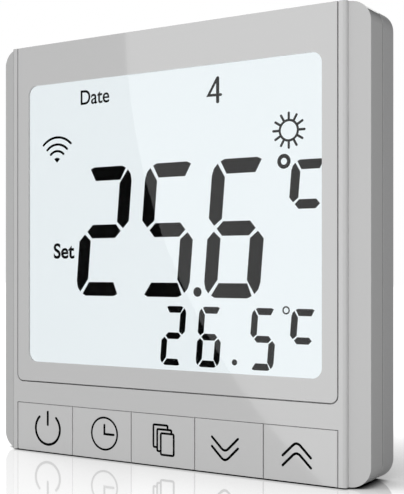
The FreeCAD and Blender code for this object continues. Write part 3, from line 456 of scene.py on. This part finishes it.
def small_reading():
    """The set temperature under it."""
    ink_print = Print(*FIGURES)
    top, bottom, width, stroke = -11.65, -23.3, 5.35, 1.28
    for left, bars in ((-0.9, TWO), (7.42, SIX), (19.1, FIVE), (27.42, DEGREE_C)):
        digit(ink_print, left, width, top, bottom, stroke, bars)
    ink_print.disc(15.72 + display_shift, -22.05, 0.58)
    ink_print.ring(26.7 + display_shift, -11.97, 0.63, 0.28)
    ink_print.piece("display_small_reading", "front", INK_BLACK)


def display_symbols():
    """The radio and sun symbols and the day's number."""
    ink_print = Print(*FIGURES)
    x, z = -27.7 + display_shift, 17.95
    for radius in (5.45, 3.95, 2.55):
        ink_print.line(arc(x, z, radius, 47, 133, 16), 0.5)
    ink_print.patch(arc(x, z + 0.08, 1.08, 45, 135, 8) + [(x, z + 0.1)])
    x, z = 27.25 + display_shift, 21.04
    ink_print.ring(x, z, 1.87, 0.44)
    for turn in range(0, 360, 30):
        away = Vector((math.cos(math.radians(turn)), math.sin(math.radians(turn))))
        here = Vector((x, z))
        ink_print.line([tuple(here + away * 2.06), tuple(here + away * 3.2)], 0.46)
    x = 12.0 + display_shift
    ink_print.line([(x, 27.6), (x, 32.1)], 0.7)
    ink_print.line([(x - 0.1, 32.1), (x - 2.1, 28.92), (x + 0.72, 28.87)], 0.52)
    ink_print.piece("display_symbols", "front", INK_BLACK)


large_reading()
small_reading()
display_symbols()
word_y = FIGURES[0] + 0.01
lettering("display_word_date", "Date", 3.1, -21.6 + display_shift, 29.75, word_y, "front",
          INK_BLACK, 0.05, 0.92)
lettering("display_word_set", "Set", 3.2, -28.7 + display_shift, -2.1, word_y, "front",
          INK_BLACK, 0.1, 1.0)

# ---- Symbols printed on the keys ----
key_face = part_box("key_power")[0].y / MM
KEY_PRINT = (key_face - 0.012, key_face + 0.003)
key_line = 0.48
key_half_height = 5.07   # the key's face only, without the tab behind the front


def key_middle(name):
    """The middle of a key's face across and up."""
    low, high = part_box("key_" + name)
    return (low.x + high.x) / 2 / MM, low.z / MM + key_half_height


def power_symbol(ink_print, x, z):
    ink_print.line(arc(x + 0.9, z - 0.16, 3.3, 133, 407, 40), key_line * 1.12)
    ink_print.line([(x + 0.9, z + 0.7), (x + 0.9, z + 3.4)], key_line * 1.12)


def clock_symbol(ink_print, x, z):
    ink_print.ring(x + 0.85, z + 0.1, 3.25, key_line * 0.85)
    ink_print.line([(x + 0.85, z + 1.85), (x + 0.85, z + 0.02), (x + 3.2, z + 0.02)], key_line)


def page(ink_print, x0, x1, z0, z1):
    """A whole sheet with rounded corners."""
    ink_print.loop(rounded_plate(x0, x1, z0, z1, 0.3, 4), key_line * 0.9)


def page_behind(ink_print, points):
    """The part of a sheet that shows behind the one in front."""
    ink_print.line(rounded(points, 0.25, 3), key_line * 0.9)


def mode_symbol(ink_print, x, z):
    page(ink_print, x - 0.3, x + 2.75, z - 2.85, z + 1.35)
    page_behind(ink_print, [(x - 0.5, z - 2.2), (x - 1.15, z - 2.2), (x - 1.15, z + 2.1),
                            (x + 2.2, z + 2.1), (x + 2.2, z + 1.6)])
    page_behind(ink_print, [(x - 1.35, z - 1.45), (x - 2.05, z - 1.45), (x - 2.05, z + 2.95),
                            (x + 1.3, z + 2.95), (x + 1.3, z + 2.35)])


def chevrons(ink_print, x, z, up):
    """Two chevrons, one over the other, pointing up or down."""
    for step in (0.9, -0.9):
        middle = z + step
        ends = middle - up * 1.2
        ink_print.line(rounded([(x - 2.85, ends), (x, middle + up * 1.55), (x + 2.85, ends)], 1.1), key_line)


KEY_SYMBOLS = {
    "power": power_symbol, "clock": clock_symbol, "mode": mode_symbol,
    "down": lambda ink_print, x, z: chevrons(ink_print, x - 0.7, z - 0.4, -1),
    "up": lambda ink_print, x, z: chevrons(ink_print, x - 0.6, z - 0.1, 1),
}

for key_name, draw in KEY_SYMBOLS.items():
    symbol = Print(*KEY_PRINT)
    draw(symbol, *key_middle(key_name))
    symbol.piece("symbol_" + key_name, "key_" + key_name, KEY_INK)

# ---- A dark band in the seam between the front and the rim: painted shade ----
cover_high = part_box("front_cover")[1]
shade_band_front = cover_high.y / MM + 0.02
shade_band_thickness = 0.26    # the seam's width, less a hair at each side
shade_band_width = 1.0
shade_band_half = cover_high.x / MM - 0.04 - shade_band_width / 2
shade_band_radius = 3.26


def seam_seal():
    """A square dark ring on the rim, just inside the seam's mouth: painted shade in the seam."""
    shade_band = Print(shade_band_front, shade_band_front + shade_band_thickness)
    middle = shade_band_half - shade_band_radius
    corners = []
    for turn, across, up in ((0, 1, 1), (90, -1, 1), (180, -1, -1), (270, 1, -1)):
        corners += arc(across * middle, up * middle, shade_band_radius, turn, turn + 90, 12)
    shade_band.loop(corners, shade_band_width)
    shade_band.piece("seam_seal", "rear", SEAM_SHADE)


seam_seal()

# ---- The rating label's frame, bars and signs ----
label_low, label_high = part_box("rating_label")
label_left, label_right = label_low.x / MM, label_high.x / MM
label_bottom, label_top = label_low.z / MM, label_high.z / MM
label_face = label_high.y / MM
LABEL_PRINT = (label_face - 0.003, label_face + 0.012)
label_line = 0.16


def bars(label, x, z, lengths, step, width):
    """Short stacked bars that run from x towards the reader's right."""
    for row, length in enumerate(lengths):
        label.line([(x, z - row * step), (x - length, z - row * step)], width)


def label_diagram(label, x, z):
    """A plain wiring sign: a row of terminals, a switch and a load."""
    pitch = 2.6
    stub = z + 2.2
    for place in range(5):
        label.ring(x - place * pitch, z, 0.62, label_line)
        label.line([(x - place * pitch, z + 0.7), (x - place * pitch, stub)], label_line)
    label.line([(x, stub), (x - pitch, stub)], label_line)
    label.line([(x - 2 * pitch, stub), (x - 7.4, z + 3.1)], label_line)
    label.loop([(x - 7.0, z + 3.4), (x - 8.6, z + 3.4), (x - 8.6, z + 4.4), (x - 7.0, z + 4.4)], label_line)
    label.line([(x - 4 * pitch, stub), (x - 4 * pitch, z + 3.9), (x - 8.7, z + 3.9)], label_line)


def label_stripes(label, start, end, low, high):
    """A row of upright stripes with uneven widths and gaps."""
    spacing = random.Random(11)
    stripe = start
    while stripe < end:
        label.line([(stripe, low), (stripe, high)], spacing.choice((0.14, 0.2, 0.32)))
        stripe += spacing.choice((0.42, 0.55, 0.75))


def rating_print():
    """Everything printed on the label, with no words."""
    label = Print(*LABEL_PRINT)
    edge = 0.8
    x0, x1, z0, z1 = label_left + edge, label_right - edge, label_bottom + edge, label_top - edge
    label.loop(rounded_plate(x0, x1, z0, z1, 0.7, 6), 0.2)
    label.line([(x1 - 0.3, z1 - 4.2), (x0 + 0.3, z1 - 4.2)], 0.14)
    bars(label, x1 - 1.4, z1 - 1.5, (12.0, 8.5), 1.4, 0.5)
    bars(label, x1 - 1.4, z1 - 5.8, (9.5, 11.0, 8.0, 10.2), 1.35, 0.32)
    label_diagram(label, x1 - 1.9, z0 + 1.5)
    for half in (1.5, 0.9):
        label.loop(square(x0 + 3.4, z1 - 6.9, half), 0.2)
    label_stripes(label, x0 + 1.2, x0 + 10.5, z0 + 1.3, z0 + 5.2)
    label.piece("rating_label_print", "rear", LABEL_INK)


rating_print()

# ---- Terminal numbers on the terminal block ----
block_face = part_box("terminal_block")[1].y / MM
for number in range(1, 6):
    screw_low, screw_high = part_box("terminal_screw_%d" % number)
    screw_middle = (screw_low.x + screw_high.x) / 2 / MM
    lettering("terminal_number_%d" % number, str(number), 1.7, screw_middle + 0.55, screw_high.z / MM + 1.4,
              block_face + 0.004, "rear", WHITE_INK, 0.02, 1.0, 1)

# ---- Tracks, solder and small parts on the control board's back ----
board_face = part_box("control_board")[1].y / MM
key_pitch = key_middle("clock")[0] - key_middle("power")[0]
TRACKS = (board_face - 0.003, board_face + 0.012)
signal_width = 0.3
supply_width = 0.5
# Where the tracks change sides: across and up.
VIAS = [(-20.0, 33.0), (-2.0, 33.0), (28.0, -4.0), (-34.0, 8.0), (15.0, -1.6), (21.0, 9.4), (-6.0, -30.0),
        (4.0, -20.0), (36.0, -20.0)]
# Chip parts: across, up and turn.
SMALL_PARTS = [(-8.0, -16.0, 0), (-8.0, -19.5, 0), (-8.0, -23.0, 0), (-29.5, -16.0, 90), (-29.5, -21.0, 90),
               (-18.0, -9.8, 0), (-13.5, 5.5, 90), (-10.5, 5.5, 90), (11.5, 5.0, 90), (14.5, 5.0, 90),
               (18.5, 14.0, 0), (18.5, 17.5, 0), (18.5, 21.0, 0), (-16.5, 24.0, 90), (-13.0, 24.0, 90),
               (30.5, -33.0, 0), (30.5, -36.5, 0), (14.0, -14.5, 0), (18.5, -14.5, 0), (23.0, -14.5, 0)]
chip_half_length, chip_half_height, chip_half_width = 0.62, 0.3, 0.31
cap_half_length, cap_middle = 0.2, 0.76
solder_radius = 0.45
switch_pin_reach = 2.3           # from a key's middle to its switch's pins
switch_pin_rows = (-38.2, -33.6)
top_row = 37.6                   # the row along the board's top edge


def signal_tracks(copper):
    """The thin runs between the controller, the socket, the radio, the clock cell and the keys."""
    for lane in range(8):
        step = lane * 1.1
        copper.line([(-13.9, -16.0 - step), (-11.5 + step * 0.4, -16.0 - step),
                     (-4.2 + step * 0.4, -9.2 - step * 0.5), (-4.2 + step * 0.9, -3.2)], signal_width)
    for lane in range(5):
        copper.line([(9.0, -1.6 + lane * 0.8), (15.0 + lane, -1.6 + lane * 0.8),
                     (21.8 - lane * 0.2, 5.4 + lane), (23.2, 12.6 + lane * 2.0)], signal_width)
        copper.line([(-26.2, -15.0 - lane * 2.0), (-31.0 - lane, -15.0 - lane * 2.0), (-34.0 - lane, -12.0),
                     (-34.0 - lane, 8.0 + lane), (-29.4 + lane * 2.0, 12.6 + lane)], signal_width)
    for place in range(5):
        x = (place - 2) * key_pitch
        copper.line([(x, -34.0), (x, -31.0), (x * 0.35 - 14.0, -29.6 + place * 0.5),
                     (x * 0.1 - 19.0, -27.2 + place * 0.2)], signal_width)


def tracks():
    """Copper runs seen through the board's green mask."""
    copper = Print(*TRACKS)
    signal_tracks(copper)
    copper.line([(36.0, -31.6), (36.0, -12.0), (28.0, -4.0), (10.0, -4.0)], supply_width)
    copper.line([(-36.9, -36.5), (-36.9, -32.5)], supply_width)
    copper.line([(-24.0, 28.4), (-24.0, 33.0), (14.0, 33.0), (22.0, 28.0)], supply_width)
    for x, z in VIAS:
        copper.ring(x, z, 0.5, signal_width)
    copper.piece("board_tracks", "front", TRACK)


def add_box(mesh, centre, half):
    """A box with slightly rounded edges, from its centre and half sizes (mm)."""
    made = bmesh.ops.create_cube(mesh, size=2.0)["verts"]
    for vert in made:
        vert.co = Vector([(c + v * h) * MM for c, v, h in zip(centre, vert.co, half)])
    edges = {edge for vert in made for edge in vert.link_edges}
    bmesh.ops.bevel(mesh, geom=list(edges), offset=0.06 * MM, segments=2, affect="EDGES")


def turned(along, across, turn):
    """Two measures as X and Z, for a part that lies along X or, turned by 90, along Z."""
    return (along, across) if turn == 0 else (across, along)


def small_parts():
    """Chip resistors and capacitors with their soldered ends."""
    middles, caps = bmesh.new(), bmesh.new()
    y = board_face + chip_half_height - 0.01
    for x, z, turn in SMALL_PARTS:
        half_x, half_z = turned(chip_half_length, chip_half_width, turn)
        add_box(middles, (x, y, z), (half_x, chip_half_height, half_z))
        cap_x, cap_z = turned(cap_half_length, chip_half_width + 0.02, turn)
        for side in (-1, 1):
            out_x, out_z = turned(side * cap_middle, 0, turn)
            add_box(caps, (x + out_x, y, z + out_z), (cap_x, chip_half_height + 0.015, cap_z))
    mesh_piece(middles, "board_chip_parts", "front", CHIP_BODY)
    mesh_piece(caps, "board_chip_ends", "front", SOLDER)


def solder_joints():
    """Domes of solder behind the keys' switches and along the board's top edge."""
    mesh = bmesh.new()
    radius = solder_radius * MM
    places = [((index - 2) * key_pitch + side * switch_pin_reach, z)
              for index in range(5) for side in (-1, 1) for z in switch_pin_rows]
    places += [(x, top_row) for x in range(-26, 27, 4)]
    for x, z in places:
        dome = bmesh.ops.create_uvsphere(mesh, u_segments=16, v_segments=8, radius=radius)["verts"]
        for vert in dome:
            vert.co = Vector((x * MM + vert.co.x, board_face * MM + vert.co.y * 0.7, z * MM + vert.co.z))
    for face in mesh.faces:
        face.smooth = True
    mesh_piece(mesh, "board_solder", "front", SOLDER)


tracks()
small_parts()
solder_joints()

# ---- Camera ----
camera_data = bpy.data.cameras.new("photo_camera")
camera_data.lens = 76.03
camera_data.shift_y = 0.0441
camera_data.clip_start = 0.005
camera = bpy.data.objects.new("photo_camera", camera_data)
camera.location = (0.1156, -0.1812, -0.00435)
camera.rotation_euler = (math.radians(90), 0, math.radians(32.228))
bpy.context.scene.collection.objects.link(camera)
bpy.context.scene.camera = camera
bpy.context.scene.view_settings.view_transform = "Standard"


# ---- Studio ----
def studio_world(seen, lit, mirrored_level):
    """A pale room: one level as seen, one as it lights matt surfaces and one as glossy ones mirror it."""
    world = bpy.data.worlds.new("studio")
    world.use_nodes = True
    nodes, links = world.node_tree.nodes, world.node_tree.links
    ground = nodes["Background"]
    rays = nodes.new("ShaderNodeLightPath")
    bounced = nodes.new("ShaderNodeMath")
    bounced.operation = "MAXIMUM"
    links.new(rays.outputs["Is Glossy Ray"], bounced.inputs[0])
    links.new(rays.outputs["Is Transmission Ray"], bounced.inputs[1])
    gloss = nodes.new("ShaderNodeMix")
    gloss.inputs["A"].default_value = lit
    gloss.inputs["B"].default_value = mirrored_level
    links.new(bounced.outputs["Value"], gloss.inputs["Factor"])
    view = nodes.new("ShaderNodeMix")
    view.inputs["B"].default_value = seen
    links.new(rays.outputs["Is Camera Ray"], view.inputs["Factor"])
    links.new(gloss.outputs["Result"], view.inputs["A"])
    links.new(view.outputs["Result"], ground.inputs["Strength"])
    ground.inputs["Color"].default_value = (1, 1, 1, 1)
    bpy.context.scene.world = world


def flat_object(name, outline, material):
    """One flat face through the given corners, kept out of the model."""
    data = bpy.data.meshes.new(name)
    data.from_pydata(outline, [], [tuple(range(len(outline)))])
    data.materials.append(material)
    thing = bpy.data.objects.new(name, data)
    bpy.context.scene.collection.objects.link(thing)
    return thing


def nearness(nodes, links, reach, tilt):
    """How open the floor is to the room within a reach, looking along a tilt."""
    look = nodes.new("ShaderNodeCombineXYZ")
    for axis, value in zip("XYZ", tilt):
        look.inputs[axis].default_value = value
    openness = nodes.new("ShaderNodeAmbientOcclusion")
    openness.samples = 16
    openness.inputs["Distance"].default_value = reach
    links.new(look.outputs["Vector"], openness.inputs["Normal"])
    return openness.outputs["AO"]


# The floor's shade is painted: its glow and polish are darkened by how open it is to the room within these
# reaches, with the wider one tilted as if lit from the front left.
shade_reach = 0.05                   # metres
shade_tilt = (-0.62, -0.52, 0.59)    # up, forwards and to the left as seen from the front
contact_reach = 0.006                # metres


def floor_material(level, share_range):
    """A white lacquered table top: even white, with painted shade beside things and a painted shadow under
    them, and a polish that the painted shade darkens too.
    """
    material = bpy.data.materials.new("floor_top")
    material.use_nodes = True
    nodes, links = material.node_tree.nodes, material.node_tree.links
    nodes.clear()
    soft_shade = nearness(nodes, links, shade_reach, shade_tilt)
    contact = nodes.new("ShaderNodeMapRange")
    contact.inputs["From Min"].default_value = 0.14
    contact.inputs["From Max"].default_value = 0.55
    links.new(nearness(nodes, links, contact_reach, (0.0, 0.0, 1.0)), contact.inputs["Value"])
    shade = nodes.new("ShaderNodeMath")
    shade.operation = "MULTIPLY"
    links.new(soft_shade, shade.inputs[0])
    links.new(contact.outputs["Result"], shade.inputs[1])
    brightness = nodes.new("ShaderNodeMath")
    brightness.operation = "MULTIPLY"
    brightness.inputs[1].default_value = level
    links.new(shade.outputs["Value"], brightness.inputs[0])
    ground = nodes.new("ShaderNodeEmission")
    links.new(brightness.outputs["Value"], ground.inputs["Strength"])
    polish = nodes.new("ShaderNodeBsdfGlossy")
    cloud = object_noise(nodes, links, 3.0, 2.0)
    links.new(spread(nodes, links, cloud.outputs["Fac"], 0.02, 0.05), polish.inputs["Roughness"])
    links.new(shade.outputs["Value"], polish.inputs["Color"])
    angle = nodes.new("ShaderNodeLayerWeight")
    share = nodes.new("ShaderNodeMapRange")
    share.inputs["From Min"].default_value = 0.3
    share.inputs["From Max"].default_value = 0.8
    share.inputs["To Min"].default_value = share_range[0]
    share.inputs["To Max"].default_value = share_range[1]
    links.new(angle.outputs["Facing"], share.inputs["Value"])
    both = nodes.new("ShaderNodeMixShader")
    links.new(share.outputs["Result"], both.inputs["Fac"])
    links.new(ground.outputs["Emission"], both.inputs[1])
    links.new(polish.outputs["BSDF"], both.inputs[2])
    out = nodes.new("ShaderNodeOutputMaterial")
    links.new(both.outputs["Shader"], out.inputs["Surface"])
    return material


def glow_material(name, strength):
    """Even light for a panel."""
    material, _nodes, _links, shader = new_material(name)
    shader.inputs["Base Color"].default_value = (0, 0, 0, 1)
    shader.inputs["Specular IOR Level"].default_value = 0.0
    shader.inputs["Emission Color"].default_value = (1, 1, 1, 1)
    shader.inputs["Emission Strength"].default_value = strength
    return material


def soft_light(name, place, target, size, watts):
    """A square soft light at a place, aimed at a target."""
    data = bpy.data.lights.new(name, "AREA")
    data.size = size
    data.energy = watts
    light = bpy.data.objects.new(name, data)
    light.location = place
    light.rotation_euler = (Vector(target) - Vector(place)).to_track_quat("-Z", "Y").to_euler()
    light.visible_glossy = False
    light.visible_camera = False
    bpy.context.scene.collection.objects.link(light)


studio_world(1.0, 0.06, 0.02)
floor_gap = 0.26         # between the part's bottom edge and the floor (mm)
floor_z = cad_bounds[0][2] - floor_gap * MM
floor_reach = 4.0
floor = flat_object("floor", [(-floor_reach, -floor_reach, floor_z), (floor_reach, -floor_reach, floor_z),
                              (floor_reach, floor_reach, floor_z), (-floor_reach, floor_reach, floor_z)],
                    floor_material(1.42, (0.04, 0.5)))
floor.visible_glossy = False
floor.visible_transmission = False
backdrop_y = 2.0
backdrop = flat_object("backdrop", [(-3.5, backdrop_y, floor_z), (-0.2, backdrop_y, floor_z),
                                    (-0.2, backdrop_y, 2.5), (-3.5, backdrop_y, 2.5)],
                       glow_material("backdrop_white", 1.0))
backdrop.visible_diffuse = False
panel_centre = Vector((0.0347, -1.0, 0.343))
panel_radius = 0.773
panel_outline = [tuple(panel_centre + panel_radius * Vector((x, 0, z)))
                 for x, z in arc(0, 0, 1, 124.5, 235.5, 64)]
panel = flat_object("light_panel", panel_outline, glow_material("panel_light", 1.0))
panel.visible_camera = False
panel.visible_diffuse = False
panel.visible_shadow = False
panel.visible_transmission = False
soft_light("front_light", (0.46, -1.2, 0.5), (0, 0, 0), 0.8, 15.7)
